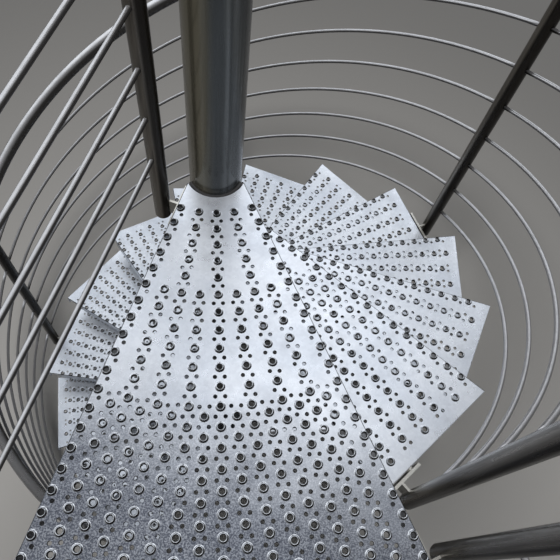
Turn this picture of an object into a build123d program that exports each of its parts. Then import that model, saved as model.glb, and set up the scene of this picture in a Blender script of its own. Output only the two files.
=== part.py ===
from build123d import *
import math
import os

# Spiral stair: sheet-metal pan treads carried by a round column, a wedge-shaped landing at the top
# and a tubular railing with helical infill rods.
# Millimetres and degrees. The origin is on the column's axis at the underside of the base plate, +Z up.
# Azimuths turn anticlockwise about +Z. The landing points along -Y and the flight falls away from it
# anticlockwise, so it is climbed clockwise with the railing on the left hand.

# Flight
rise = 196.0                    # level difference from one tread to the next
tread_turn = 23.6               # angle from one tread to the next
tread_count = 13
landing_azimuth = -90.0
top_tread_azimuth = -51.35      # centre line of the first tread below the landing

# Column and base
column_radius = 66.5
column_wall = 5.0
base_radius = 160.0
base_thickness = 15.0
anchor_circle_radius = 125.0
anchor_hole_radius = 9.0
anchor_count = 6
cap_thickness = 6.0
cap_overhang = 3.0
cap_spigot_depth = 25.0
cap_spigot_wall = 4.0
cap_clearance = 0.3

# Pans of the treads
tread_reach = 850.0             # column axis to the straight outer edge
tread_axis_half = 62.0          # half width of the wedge where its sides would pass the axis
tread_outer_half = 195.0        # wide enough to reach under the tread above
tread_sheet = 3.0
tread_depth = 50.0              # depth of the folded flanges
tread_flange_short = 47.0       # the side flanges stop this far from the outer edge
corner_lip = 12.0               # depth of the fold where a side flange is missing
collar_clearance = 8.0          # from the column to the sheet's round cut-out
saddle_wall = 6.0
saddle_drop = 8.0               # from the walking surface to the top of the saddle
weld_gap = 0.2                  # between a saddle and the column

# Landing
landing_half_angle = 20.84
landing_axis_half = 57.8
landing_reach = 1400.0
landing_sheet = 4.0
landing_depth = 100.0
landing_rib_spacing = 330.0
landing_rib_depth = 70.0
landing_rib_wall = 5.0
landing_hole_spacing_x = 800.0
landing_hole_spacing_z = 50.0
landing_hole_radius = 7.0
landing_hole_level = -55.0      # middle of the bolt holes, from the walking surface

# Punched openings of the walking surfaces, in rows that fan out from the column.
# A row has its distance from the centre line where it would pass the column's axis, the rate at which
# it leaves that line, its first opening's distance from the axis and the spacing of its holes.
punched_radius = 5.7
punched_step = 3                # every third hole of a row is cut, the ones between are left out
punched_margin = 35.0           # blank strip along the outer edge
landing_row_rate = math.tan(math.radians(landing_half_angle))
tread_rows = ((0.0, 0.0, 333.0, 43.5), (17.2, 0.0538, 136.8, 43.5), (34.4, 0.1076, 328.0, 43.9),
              (52.8, 0.1565, 95.6, 43.4))
landing_rows = ((0.0, 0.0, 125.0, 43.7), (10.1, landing_row_rate / 4, 342.0, 43.7),
                (20.2, landing_row_rate / 2, 121.0, 43.9), (30.4, landing_row_rate * 0.75, 327.0, 43.7),
                (47.2, landing_row_rate, 108.0, 43.7))

# Posts and their brackets
post_radius = 21.2
post_wall = 2.6
post_offset = 57.0              # from a walking edge to the post's axis
post_step = 3                   # a post on every third tread
top_post_side_shift = -135.0    # along the outer edge: the top post stands close to the landing
post_floor = 3.0                # disc that closes a post's foot
foot_overrun = 12.0             # from the bracket's lower edge to the post's foot
bracket_half_length = 66.0
bracket_thickness = 8.0
bracket_gap = 6.0               # from the walking edge to the bracket's bar
bracket_fin = 6.0
bracket_corner_gap = 7.0        # least distance from the bar to the ends of its edge
bracket_column_gap = 40.0       # least distance along a landing edge from the column's axis
spacer_radius = 9.0
spacer_inset = 20.0             # from an end of the bar to its spacer
tread_bracket_top = 3.0         # from the walking surface down to the bracket
tread_bracket_depth = 60.0
landing_bracket_top = 45.0
landing_bracket_depth = 100.0

# Railing
handrail_radius = 21.2
handrail_wall = 2.6
handrail_height = 1193.0        # above the line through the treads, to the handrail's axis
rod_radius = 6.0
rod_count = 7
first_rod_height = 105.0
rod_spacing = 148.8
handrail_overrun = 4.0          # turn by which the handrail passes its end posts
end_cap_head = 8.0
end_cap_depth = 12.0
end_cap_clearance = 0.2

# Guards of the landing
inner_left_post_along = 97.0    # along the landing's edge, from the column's axis
inner_right_post_along = 1025.0
outer_post_inset = 70.0         # from the landing's outer corner, along its edge
first_guard_rod_height = 142.0
guard_rod_spacing = 143.0
guard_overrun = 45.0

landing_level = (tread_count + 1) * rise
helix_pitch = rise * 360.0 / tread_turn
rod_circle_radius = tread_reach + post_offset
landing_edge_distance = landing_axis_half * math.cos(math.radians(landing_half_angle))
landing_outer_half = landing_axis_half + landing_reach * math.tan(math.radians(landing_half_angle))
landing_edge_length = (landing_reach * math.cos(math.radians(landing_half_angle))
                       + landing_outer_half * math.sin(math.radians(landing_half_angle)))
outer_post_along = landing_edge_length - outer_post_inset
column_top = landing_level + handrail_height + handrail_radius


def tread_azimuth(number):
    """Centre line of a tread, counted from the lowest."""
    return top_tread_azimuth + (tread_count - number) * tread_turn


def line_level(azimuth):
    """Height of the line through the centres of the treads."""
    return tread_count * rise - rise * (azimuth - top_tread_azimuth) / tread_turn


def wedge(axis_half, outer_half, reach, inset):
    """Outline of a pan in plan, its centre line along +X, drawn in from its edges by inset."""
    slope = (outer_half - axis_half) / reach
    side = inset * math.hypot(1.0, slope)
    outer = reach - inset
    half_outer = axis_half + slope * outer - side
    return make_face(Polyline((0, -axis_half + side), (outer, -half_outer), (outer, half_outer),
                              (0, axis_half - side), close=True))


def slab(face, top, bottom):
    """Face drawn in plan, made solid between two levels."""
    return extrude(Pos(0, 0, bottom) * face, amount=top - bottom, dir=(0, 0, 1))


def punched(rows, reach):
    """Round openings on both sides of a pan's centre line, drawn in plan."""
    openings = []
    for offset, rate, first, spacing in rows:
        step = punched_step * spacing / math.hypot(1.0, rate)
        for index in range(int((reach - punched_margin - first) // step) + 1):
            along = first + index * step
            for side in (-1, 1) if offset else (1,):
                openings.append(Pos(along, side * (offset + rate * along)) * Circle(punched_radius))
    return openings


def pan(axis_half, outer_half, reach, sheet, depth, short, rows):
    """Folded pan with its centre line along +X and its walking surface at z = 0.

    Its side flanges stop short of the outer corners, where only a lip is folded down.
    """
    outline = wedge(axis_half, outer_half, reach, 0)
    inside = wedge(axis_half, outer_half, reach, sheet)
    column = Circle(column_radius + weld_gap)
    cut = Circle(column_radius + collar_clearance)
    top = slab(outline - cut - punched(rows, reach), 0, -sheet)
    fold = outline - inside
    lip = slab(fold - cut, -sheet, -corner_lip)

    flange = fold - column
    if short > 0:
        corner = Pos(reach - short / 2, 0) * Rectangle(short, 2 * outer_half + 2)
        end = fold & (Pos(reach - sheet / 2, 0) * Rectangle(sheet, 2 * outer_half + 2))
        flange = (flange - corner) + end
    flanges = slab(flange, -sheet, -depth)

    ring = Circle(column_radius + weld_gap + saddle_wall) - column
    saddle = slab(ring & outline, -saddle_drop, -depth)
    return top + lip + flanges + saddle


def tread_pan():
    return pan(tread_axis_half, tread_outer_half, tread_reach, tread_sheet, tread_depth, tread_flange_short,
               tread_rows)


def landing_pan():
    """Landing with cross ribs under the sheet and bolt holes in its outer flange."""
    body = pan(landing_axis_half, landing_outer_half, landing_reach, landing_sheet, landing_depth, 0,
               landing_rows)
    inside = wedge(landing_axis_half, landing_outer_half, landing_reach, landing_sheet / 2)
    count = int((landing_reach - landing_rib_spacing / 2) // landing_rib_spacing)
    for index in range(1, count + 1):
        strip = Pos(index * landing_rib_spacing, 0) * Rectangle(landing_rib_wall, 2 * landing_outer_half)
        body += slab(strip & inside, -landing_sheet, -landing_rib_depth)
    for across in (-0.5, 0.5):
        for down in (-0.5, 0.5):
            centre = (landing_reach, across * landing_hole_spacing_x,
                      landing_hole_level + down * landing_hole_spacing_z)
            body -= Plane(origin=centre, z_dir=(1, 0, 0)) * Cylinder(landing_hole_radius, 60)
    return body


def base_plate():
    plate = Cylinder(base_radius, base_thickness, align=(Align.CENTER, Align.CENTER, Align.MIN))
    holes = PolarLocations(anchor_circle_radius, anchor_count) * Cylinder(anchor_hole_radius, 4 * base_thickness)
    return plate - holes


def column_tube():
    height = column_top - base_thickness
    ring = Circle(column_radius) - Circle(column_radius - column_wall)
    return slab(ring, column_top, column_top - height)


def column_cap():
    """Cover disc with a spigot that enters the column."""
    spigot_radius = column_radius - column_wall - cap_clearance
    disc = Cylinder(column_radius + cap_overhang, cap_thickness, align=(Align.CENTER, Align.CENTER, Align.MIN))
    disc = fillet(disc.edges().group_by(Axis.Z)[-1], cap_thickness * 0.45)
    ring = Circle(spigot_radius) - Circle(spigot_radius - cap_spigot_wall)
    return Pos(0, 0, column_top) * (disc + slab(ring, 0, -cap_spigot_depth))


class Stand:
    """Place of a post beside a straight walking edge.

    The frame's X axis points outwards across the edge and its Y axis runs along it. The bracket's bar
    stays within span, which is a stretch of that Y axis.
    """

    def __init__(self, azimuth, level, edge, shift, top, depth, span):
        self.azimuth = azimuth
        self.edge = edge
        self.shift = shift
        self.top = top
        self.depth = depth
        self.span = span
        self.reach = edge + post_offset
        self.foot = level - depth - foot_overrun
        self.frame = Pos(0, 0, level) * Rot(0, 0, azimuth)

    def turn(self):
        """Azimuth of the post's axis."""
        return self.azimuth + math.degrees(math.atan2(self.shift, self.reach))

    def point(self):
        """Post's axis in plan."""
        angle = math.radians(self.azimuth)
        return (self.reach * math.cos(angle) - self.shift * math.sin(angle),
                self.reach * math.sin(angle) + self.shift * math.cos(angle))

    def bar_ends(self):
        """Ends of the bracket's bar along the edge."""
        return (max(self.shift - bracket_half_length, self.span[0]),
                min(self.shift + bracket_half_length, self.span[1]))

    def shaft(self, height):
        """Solid round bar that fills the post, for cutting what meets it."""
        x, y = self.point()
        return Pos(x, y, self.foot) * Cylinder(post_radius, height, align=(Align.CENTER, Align.CENTER, Align.MIN))


def bracket(stand):
    """Flat bar beside the edge on two spacers, with a fin across to the post."""
    inner = stand.edge + bracket_gap
    outer = inner + bracket_thickness
    low, high = stand.bar_ends()
    bar = Pos((inner + outer) / 2, (low + high) / 2) * Rectangle(bracket_thickness, high - low)
    body = slab(bar, -stand.top, -stand.depth)

    fin = Pos((outer + stand.reach) / 2, stand.shift) * Rectangle(stand.reach - outer, bracket_fin)
    fin -= Pos(stand.reach, stand.shift) * Circle(post_radius)
    body += slab(fin, -stand.top, -stand.depth)

    drop = (stand.top + stand.depth) / 2
    for along in (low + spacer_inset, high - spacer_inset):
        seat = Plane(origin=(stand.edge, along, -drop), z_dir=(1, 0, 0))
        body += seat * Cylinder(spacer_radius, bracket_gap + 1, align=(Align.CENTER, Align.CENTER, Align.MIN))
    return stand.frame * body


def post(stand, top, cope):
    """Upright tube with a closed foot, cut to the handrail that it carries."""
    x, y = stand.point()
    ring = Pos(x, y) * (Circle(post_radius) - Circle(post_radius - post_wall))
    floor = Pos(x, y) * Circle(post_radius)
    tube = slab(ring, top, stand.foot) + slab(floor, stand.foot + post_floor, stand.foot)
    return tube - cope


def helical(section, low, high, height):
    """Section swept up the railing's helix from azimuth low to azimuth high, height above the tread line."""
    climb = line_level(high) - line_level(low)
    path = Helix(pitch=helix_pitch, height=climb, radius=rod_circle_radius, lefthand=True)
    start = Plane(origin=path @ 0, z_dir=path % 0)
    body = sweep(start * section, path=path, is_frenet=True)
    return Pos(0, 0, line_level(low) + height) * Rot(0, 0, low) * body


def infill(lower, upper):
    """Helical rods between two neighbouring posts of the flight."""
    cut = lower.shaft(2 * handrail_height) + upper.shaft(2 * handrail_height)
    rods = []
    for index in range(rod_count):
        rod = helical(Circle(rod_radius), lower.turn(), upper.turn(), first_rod_height + index * rod_spacing)
        rods.append(rod - cut)
    return Compound(children=rods)


def straight(stand, along_from, along_to, radius, height):
    """Level round bar beside a landing edge, between two places along it."""
    sign = 1 if along_to > along_from else -1
    start = (stand.reach, along_from, height)
    bar = Plane(origin=start, z_dir=(0, sign, 0)) * Cylinder(
        radius, abs(along_to - along_from), align=(Align.CENTER, Align.CENTER, Align.MIN))
    return stand.frame * bar


def guard_infill(inner, outer):
    """Level rods between the two posts of a landing guard."""
    cut = inner.shaft(2 * handrail_height) + outer.shaft(2 * handrail_height)
    rods = []
    for index in range(rod_count):
        height = first_guard_rod_height + index * guard_rod_spacing
        rods.append(straight(inner, inner.shift, outer.shift, rod_radius, height) - cut)
    return Compound(children=rods)


def guard_handrail(inner, outer):
    sign = 1 if outer.shift > inner.shift else -1
    ends = (inner.shift - sign * guard_overrun, outer.shift + sign * guard_overrun)
    solid = straight(inner, ends[0], ends[1], handrail_radius, handrail_height)
    bore = straight(inner, ends[0], ends[1], handrail_radius - handrail_wall, handrail_height)
    return solid - bore, solid, ends


def end_cap():
    """Rounded plug for a handrail's end, its head along +Z and its spigot inside the tube."""
    inner = handrail_radius - handrail_wall - end_cap_clearance
    head = Cylinder(handrail_radius, end_cap_head, align=(Align.CENTER, Align.CENTER, Align.MIN))
    head = fillet(head.edges().group_by(Axis.Z)[-1], end_cap_head * 0.9)
    spigot = Cylinder(inner, end_cap_depth, align=(Align.CENTER, Align.CENTER, Align.MAX))
    return head + spigot


def helix_end(azimuth, upwards):
    """Plane across the spiral handrail at an azimuth, facing out of the tube."""
    angle = math.radians(azimuth)
    slope = helix_pitch / (2 * math.pi * rod_circle_radius)
    sign = 1 if upwards else -1
    centre = (rod_circle_radius * math.cos(angle), rod_circle_radius * math.sin(angle),
              line_level(azimuth) + handrail_height)
    return Plane(origin=centre, z_dir=(sign * math.sin(angle), -sign * math.cos(angle), sign * slope))


def build():
    """All nodes of the stair by name."""
    nodes = {"base_plate": base_plate(), "column": column_tube(), "column_cap": column_cap()}
    for number in range(1, tread_count + 1):
        place = Pos(0, 0, number * rise) * Rot(0, 0, tread_azimuth(number))
        nodes[f"tread_{number:02d}"] = place * tread_pan()
    nodes["landing"] = Pos(0, 0, landing_level) * Rot(0, 0, landing_azimuth) * landing_pan()

    stands = {}
    for number in range(1, tread_count + 1, post_step):
        shift = top_post_side_shift if number == tread_count else 0.0
        half = tread_outer_half - bracket_corner_gap
        stands[number] = Stand(tread_azimuth(number), number * rise, tread_reach, shift,
                               tread_bracket_top, tread_bracket_depth, (-half, half))
    numbers = sorted(stands)
    for number in numbers:
        stand = stands[number]
        azimuth = stand.turn()
        rail_level = line_level(azimuth) + handrail_height
        cope = helical(Circle(handrail_radius), azimuth + 4, azimuth - 4, handrail_height)
        nodes[f"post_tread_{number:02d}"] = post(stand, rail_level - 4, cope)
        nodes[f"bracket_tread_{number:02d}"] = bracket(stand)
    for lower, upper in zip(numbers, numbers[1:]):
        nodes[f"rods_{lower:02d}_to_{upper:02d}"] = infill(stands[lower], stands[upper])

    low = stands[numbers[0]].turn() + handrail_overrun
    high = stands[numbers[-1]].turn() - handrail_overrun
    ring = Circle(handrail_radius) - Circle(handrail_radius - handrail_wall)
    nodes["handrail_spiral"] = helical(ring, low, high, handrail_height)
    caps = [helix_end(low, False) * end_cap(), helix_end(high, True) * end_cap()]

    for name, side, first in (("left", -1, inner_left_post_along), ("right", 1, inner_right_post_along)):
        azimuth = landing_azimuth + side * (landing_half_angle + 90)
        along = (-side * bracket_column_gap, -side * (landing_edge_length - bracket_corner_gap))
        inner, outer = (Stand(azimuth, landing_level, landing_edge_distance, -side * place,
                              landing_bracket_top, landing_bracket_depth, sorted(along))
                        for place in (first, outer_post_along))
        tube, solid, ends = guard_handrail(inner, outer)
        nodes[f"handrail_landing_{name}"] = tube
        nodes[f"rods_landing_{name}"] = guard_infill(inner, outer)
        for place, stand in (("inner", inner), ("outer", outer)):
            nodes[f"post_landing_{place}_{name}"] = post(stand, landing_level + handrail_height - 4, solid)
            nodes[f"bracket_landing_{place}_{name}"] = bracket(stand)
        for end, other in (ends, ends[::-1]):
            facing = 1 if end > other else -1
            seat = Plane(origin=(inner.reach, end, handrail_height), z_dir=(0, facing, 0))
            caps.append(inner.frame * (seat * end_cap()))
    nodes["handrail_caps"] = Compound(children=caps)
    return nodes


os.makedirs("parts", exist_ok=True)
for name, shape in build().items():
    export_step(shape, f"parts/{name}.step")
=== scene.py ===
"""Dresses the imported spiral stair: punched pans with raised collars, welds, bolts and metal finishes.

The classes hold their sizes in millimetres. Every finished mesh is placed and scaled to metres once,
so that each object sits at the origin of the shared frame. Finishes and the studio count in metres.
"""
import logging
import math
from dataclasses import dataclass
from enum import Enum, IntEnum
from operator import itemgetter
from typing import Iterable, Iterator, Optional, Sequence

import bmesh
import bpy
from bmesh.types import BMEdge, BMesh, BMFace, BMVert
from mathutils import Matrix, Vector
from mathutils.geometry import delaunay_2d_cdt


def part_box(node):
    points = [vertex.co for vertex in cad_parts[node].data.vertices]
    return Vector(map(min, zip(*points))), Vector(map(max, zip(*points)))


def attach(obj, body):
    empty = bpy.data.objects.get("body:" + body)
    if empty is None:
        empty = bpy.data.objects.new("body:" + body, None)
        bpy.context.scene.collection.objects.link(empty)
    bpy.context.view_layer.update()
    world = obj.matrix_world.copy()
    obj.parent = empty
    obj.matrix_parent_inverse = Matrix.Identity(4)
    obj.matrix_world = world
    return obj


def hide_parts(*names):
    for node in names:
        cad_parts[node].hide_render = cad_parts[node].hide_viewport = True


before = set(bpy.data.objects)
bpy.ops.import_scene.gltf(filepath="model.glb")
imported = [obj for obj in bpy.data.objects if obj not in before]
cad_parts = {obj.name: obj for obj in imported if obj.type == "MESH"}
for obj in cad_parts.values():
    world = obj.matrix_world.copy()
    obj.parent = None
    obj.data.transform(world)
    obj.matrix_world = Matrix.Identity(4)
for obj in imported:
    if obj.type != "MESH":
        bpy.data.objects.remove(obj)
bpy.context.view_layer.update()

log = logging.getLogger("spiral_stair")
Colour = tuple[float, float, float]
Direction = tuple[float, float, float]
Range = tuple[float, float]
Profile = Sequence[tuple[float, float]]     # radius and height of each point
Material = bpy.types.Material
Socket = bpy.types.NodeSocket

METRE = Matrix.Scale(0.001, 4)
COLUMN_RADIUS = 66.5
TUBE_RADIUS = 21.2              # of posts and handrails
IN_PLANE = 1e-3                 # a vertex this near a plane lies in it
SAME_VERTEX = 1e-4              # vertices this near each other are one
SAME_CORNER = 1e-5              # the same for the triangulation of a sheet
BROAD = 5e4                     # a face with more area than this is a broad side of a sheet
INSIDE_THE_OUTLINE = 1          # what the triangulation gives back


class Slot(Enum):
    """Material slots of the record."""

    SHEET = "galvanised_sheet"
    COLUMN = "column_steel"
    POST = "post_stainless"
    BRACKET = "bracket_steel"
    ROD = "rod_stainless"
    HANDRAIL = "handrail_stainless"


class Side(Enum):
    """The two long edges of a pan, by the sign of the cross direction."""

    RIGHT = -1
    LEFT = 1


class Skin(IntEnum):
    """Finishes of a punched pan, by their place in its list of materials."""

    SHEET = 0
    # near-black painted shade, in the holes and on the saddle
    BORE = 1
    WELD = 2
    # lighter drawn zinc with painted shade on the side away from the light
    COLLAR = 3
    # near-black painted shade along the long folds
    FOLD = 4


# ---------------------------------------------------------------------------------------------
# Finishes


def rgba(value: object) -> object:
    """A colour with its alpha; a socket passes as it is."""
    return (*value, 1.0) if isinstance(value, tuple) else value


class ShaderTree:
    """A node tree with short calls for the nodes that the finishes share."""

    def __init__(self, owner: bpy.types.ID) -> None:
        """Start an empty tree.

        Args:
            owner: The material or world that it belongs to.
        """
        self.owner = owner
        owner.use_nodes = True
        self.tree = owner.node_tree
        self.tree.nodes.clear()
        self.coordinates = self.node("ShaderNodeTexCoord")
        self.place = self.coordinates.outputs["Object"]

    @classmethod
    def material(cls, name: str) -> "ShaderTree":
        """Start a new material."""
        return cls(bpy.data.materials.new(name))

    def node(self, kind: str, inputs: Optional[dict] = None, **settings: object) -> bpy.types.Node:
        """Add a node.

        Args:
            kind: Blender's name for the node.
            inputs: A value or a socket for each input that is set, by name or place.
            settings: Attributes of the node.

        Returns:
            The new node.
        """
        made = self.tree.nodes.new(kind)
        for key, value in settings.items():
            setattr(made, key, value)
        for key, value in (inputs or {}).items():
            if isinstance(value, Socket):
                self.tree.links.new(value, made.inputs[key])
            else:
                made.inputs[key].default_value = value
        return made

    def mapped(self, scale: Direction) -> Socket:
        """Object coordinates stretched along each axis."""
        return self.node("ShaderNodeMapping", {"Vector": self.place, "Scale": scale}).outputs["Vector"]

    def noise(self, scale: float, detail: float = 3.0, roughness: float = 0.5,
              vector: Optional[Socket] = None) -> Socket:
        """Soft noise between 0 and 1."""
        return self.node("ShaderNodeTexNoise", {
            "Vector": vector or self.place, "Scale": scale, "Detail": detail, "Roughness": roughness,
        }).outputs["Fac"]

    def cells(self, scale: float) -> Socket:
        """One random grey for each crystal-like cell."""
        colour = self.node("ShaderNodeTexVoronoi", {"Vector": self.place, "Scale": scale}).outputs["Color"]
        return self.node("ShaderNodeSeparateColor", {"Color": colour}).outputs["Red"]

    def spread(self, value: Socket, low: float, high: float, new_low: float, new_high: float,
               soft: bool = False) -> Socket:
        """Map a value from one range to another, clamped."""
        return self.node("ShaderNodeMapRange", {
            "Value": value, "From Min": low, "From Max": high, "To Min": new_low, "To Max": new_high,
        }, interpolation_type="SMOOTHSTEP" if soft else "LINEAR").outputs["Result"]

    def fade(self, value: Socket, low: float, high: float, top: float = 1.0) -> Socket:
        """Rise softly from 0 at one value to a top at another."""
        return self.spread(value, low, high, 0.0, top, True)

    def mix(self, share: object, first: object, second: object, blend: str = "MIX") -> Socket:
        """Mix two colours."""
        return self.node("ShaderNodeMix", {0: share, 6: rgba(first), 7: rgba(second)},
                         data_type="RGBA", blend_type=blend).outputs[2]

    def maths(self, operation: str, first: object, second: object = 0.0) -> Socket:
        """One sum on two numbers."""
        return self.node("ShaderNodeMath", {0: first, 1: second}, operation=operation).outputs[0]

    def dot(self, vector: Socket, direction: Direction) -> Socket:
        """How far a vector runs along a direction."""
        return self.node("ShaderNodeVectorMath", {0: vector, 1: direction},
                         operation="DOT_PRODUCT").outputs["Value"]

    def facing(self, direction: Direction) -> Socket:
        """How far the surface faces along a direction of the frame, from -1 to 1."""
        return self.dot(self.node("ShaderNodeNewGeometry").outputs["Normal"], direction)

    def bump(self, height: Socket, strength: float, depth: float, normal: Optional[Socket] = None) -> Socket:
        """Relief from a height."""
        inputs = {"Height": height, "Strength": strength, "Distance": depth}
        if normal is not None:
            inputs["Normal"] = normal
        return self.node("ShaderNodeBump", inputs).outputs["Normal"]

    def surface(self, colour: object, roughness: object, metallic: float, normal: Optional[Socket] = None,
                **sockets: object) -> Material:
        """Close the tree with one metal or painted surface.

        Args:
            colour: Base colour, a tuple or a socket.
            roughness: Roughness, a number or a socket.
            metallic: Share of bare metal.
            normal: Relief, if any.
            sockets: Values for further inputs of the shader, by name with underscores for spaces.

        Returns:
            The material.
        """
        inputs = {"Base Color": rgba(colour), "Roughness": roughness, "Metallic": metallic}
        if normal is not None:
            inputs["Normal"] = normal
        inputs.update({key.replace("_", " "): value for key, value in sockets.items()})
        shader = self.node("ShaderNodeBsdfPrincipled", inputs)
        self.node("ShaderNodeOutputMaterial", {"Surface": shader.outputs["BSDF"]})
        return self.owner


@dataclass(frozen=True)
class GalvanisedSheet:
    """Hot-dip zinc on folded sheet: bright, clouded, with a faint spangle and small marks, and where asked a
    speckled part darkened by painted shade and painted dark reflection.
    """

    name: str
    bright: Colour = (0.755, 0.79, 0.855)
    cloud: Colour = (0.66, 0.70, 0.775)
    stain: Colour = (0.44, 0.46, 0.50)
    stain_share: float = 0.40
    spangle: tuple[Colour, Colour] = ((0.5, 0.52, 0.55), (1.0, 1.0, 1.0))
    spangle_share: float = 0.16
    spangle_scale: float = 150.0
    roughness: Range = (0.24, 0.42)
    metallic: float = 0.80
    shade_span: Optional[Range] = None         # Y where the part with painted shade and dark reflection starts and ends
    shade_tone: Colour = (0.085, 0.093, 0.12)
    shade_course: Direction = (0.3, 1.0, 0.0)     # the edge of that part runs square to this
    shade_waver: float = 0.24             # how far the edge wanders

    def build(self) -> Material:
        """The finished material."""
        tree = ShaderTree.material(self.name)
        tone = tree.mix(tree.fade(tree.noise(5.5, 5.0, 0.62), 0.36, 0.66), self.bright, self.cloud)
        crystals = tree.cells(self.spangle_scale)
        tone = tree.mix(self.spangle_share, tone, tree.mix(crystals, *self.spangle), "MULTIPLY")
        tone = tree.mix(tree.fade(tree.noise(16.0), 0.56, 0.80, self.stain_share), tone, self.stain)
        roughness = tree.spread(tree.noise(30.0, 4.0, 0.6), 0.3, 0.7, *self.roughness)
        # Painted shade and dark reflection: a speckled, darker part towards one end.
        if self.shade_span is not None:
            waver = tree.maths("MULTIPLY", tree.noise(7.0, 4.0, 0.6), self.shade_waver)
            edge = tree.maths("ADD", tree.dot(tree.place, self.shade_course), waver)
            start, end = (place + self.shade_waver / 2 for place in self.shade_span)
            shade_mask = tree.fade(edge, start, end)
            speckle = tree.spread(tree.noise(300.0, 3.0, 0.7), 0.34, 0.60, 0.58, 1.0, True)
            tone = tree.mix(tree.maths("MULTIPLY", shade_mask, speckle), tone, self.shade_tone)
        relief = tree.bump(tree.noise(14.0, 2.0, 0.4), 0.20, 0.0012)
        relief = tree.bump(crystals, 0.016, 0.0004, relief)
        return tree.surface(tone, roughness, self.metallic, relief, Specular_IOR_Level=0.5)


@dataclass(frozen=True)
class PunchedBore:
    """Wall of a punched hole, painted near black as shade."""

    name: str
    tone: Colour = (0.05, 0.052, 0.057)
    deeper_shade: Colour = (0.02, 0.018, 0.016)

    def build(self) -> Material:
        """The finished material."""
        tree = ShaderTree.material(self.name)
        # Painted shade: two near-black tones blended by noise.
        tone = tree.mix(tree.noise(120.0, 3.0, 0.6), self.tone, self.deeper_shade)
        return tree.surface(tone, 0.55, 0.4, tree.bump(tree.noise(400.0), 0.2, 0.0003))


@dataclass(frozen=True)
class StretchedZinc:
    """Zinc where the sheet is drawn or folded sharply: thinner and smoother, with painted shade on the side
    turned away from the light.
    """

    name: str
    tone: Colour
    thin: Colour
    side_shade: Colour = (0.05, 0.05, 0.053)
    lit_side: Direction = (-0.35, 0.60, 0.72)     # painted shade falls on the other side
    roughness: Range = (0.16, 0.28)

    def build(self) -> Material:
        """The finished material."""
        tree = ShaderTree.material(self.name)
        tone = tree.mix(tree.fade(tree.noise(90.0, 4.0, 0.6), 0.35, 0.65), self.tone, self.thin)
        # Painted shade: darker where the surface turns away from the lit side.
        tone = tree.mix(tree.fade(tree.facing(self.lit_side), 0.16, 0.56), self.side_shade, tone)
        roughness = tree.spread(tree.noise(260.0), 0.3, 0.7, *self.roughness)
        return tree.surface(tone, roughness, 0.95, tree.bump(tree.noise(500.0), 0.12, 0.0003))


@dataclass(frozen=True)
class BrushedTube:
    """Ground stainless tube or bar, with painted shade and dark reflection on the side turned away from its
    open side.
    """

    name: str
    tones: tuple[Colour, Colour, Colour]            # two that blend, and the painted shade
    grain: Direction = (30.0, 30.0, 30.0)           # noise per metre along X, Y and Z
    open_side: Direction = (0.0, 0.0, 1.0)          # direction of the light side
    shade_over: Range = (0.30, -0.12)               # share along it where the shade sets in and is full
    roughness: Range = (0.22, 0.40)
    metallic: float = 0.85

    def build(self) -> Material:
        """The finished material."""
        tree = ShaderTree.material(self.name)
        light, dark, shade = self.tones
        streaks = tree.noise(1.0, 4.0, 0.65, tree.mapped(self.grain))
        blend = tree.maths("ADD", tree.maths("MULTIPLY", streaks, 0.6),
                           tree.maths("MULTIPLY", tree.noise(3.2), 0.4))
        tone = tree.mix(tree.fade(blend, 0.36, 0.64), light, dark)
        # Painted shade and dark reflection on the side away from the open side.
        tone = tree.mix(tree.fade(tree.facing(self.open_side), *self.shade_over), tone, shade)
        roughness = tree.spread(streaks, 0.3, 0.7, *self.roughness)
        return tree.surface(tone, roughness, self.metallic, tree.bump(streaks, 0.02, 0.0002))


@dataclass(frozen=True)
class DarkColumn:
    """Polished column tube, deep blue-grey with upright streaks and a painted olive reflection on one flank.
    """

    name: str
    deep: Colour = (0.075, 0.083, 0.088)
    streak: Colour = (0.24, 0.26, 0.275)
    olive_reflection: Colour = (0.17, 0.155, 0.11)
    reflecting_flank: Direction = (-0.97, -0.24, 0.0)
    upright: Direction = (42.0, 42.0, 0.7)          # streaks per metre along X, Y and Z
    fine: Direction = (300.0, 300.0, 9.0)           # polishing marks, the same way
    roughness: Range = (0.14, 0.30)

    def build(self) -> Material:
        """The finished material."""
        tree = ShaderTree.material(self.name)
        streaks = tree.noise(1.0, vector=tree.mapped(self.upright))
        tone = tree.mix(tree.fade(streaks, 0.46, 0.70, 0.8), self.deep, self.streak)
        # Painted reflection: an olive tint on one flank.
        tone = tree.mix(tree.fade(tree.facing(self.reflecting_flank), 0.25, 0.75, 0.8), tone, self.olive_reflection)
        marks = tree.noise(1.0, 4.0, 0.7, tree.mapped(self.fine))
        roughness = tree.spread(marks, 0.3, 0.7, *self.roughness)
        return tree.surface(tone, roughness, 0.75, tree.bump(marks, 0.04, 0.0002))


@dataclass(frozen=True)
class WeldBead:
    """Heat-tinted weld metal."""

    name: str
    tone: Colour = (0.33, 0.31, 0.30)
    tint: Colour = (0.16, 0.14, 0.17)

    def build(self) -> Material:
        """The finished material."""
        tree = ShaderTree.material(self.name)
        tone = tree.mix(tree.noise(28.0, 2.0), self.tone, self.tint)
        return tree.surface(tone, 0.42, 0.8, tree.bump(tree.noise(160.0, 2.0), 0.5, 0.0012))


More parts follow.
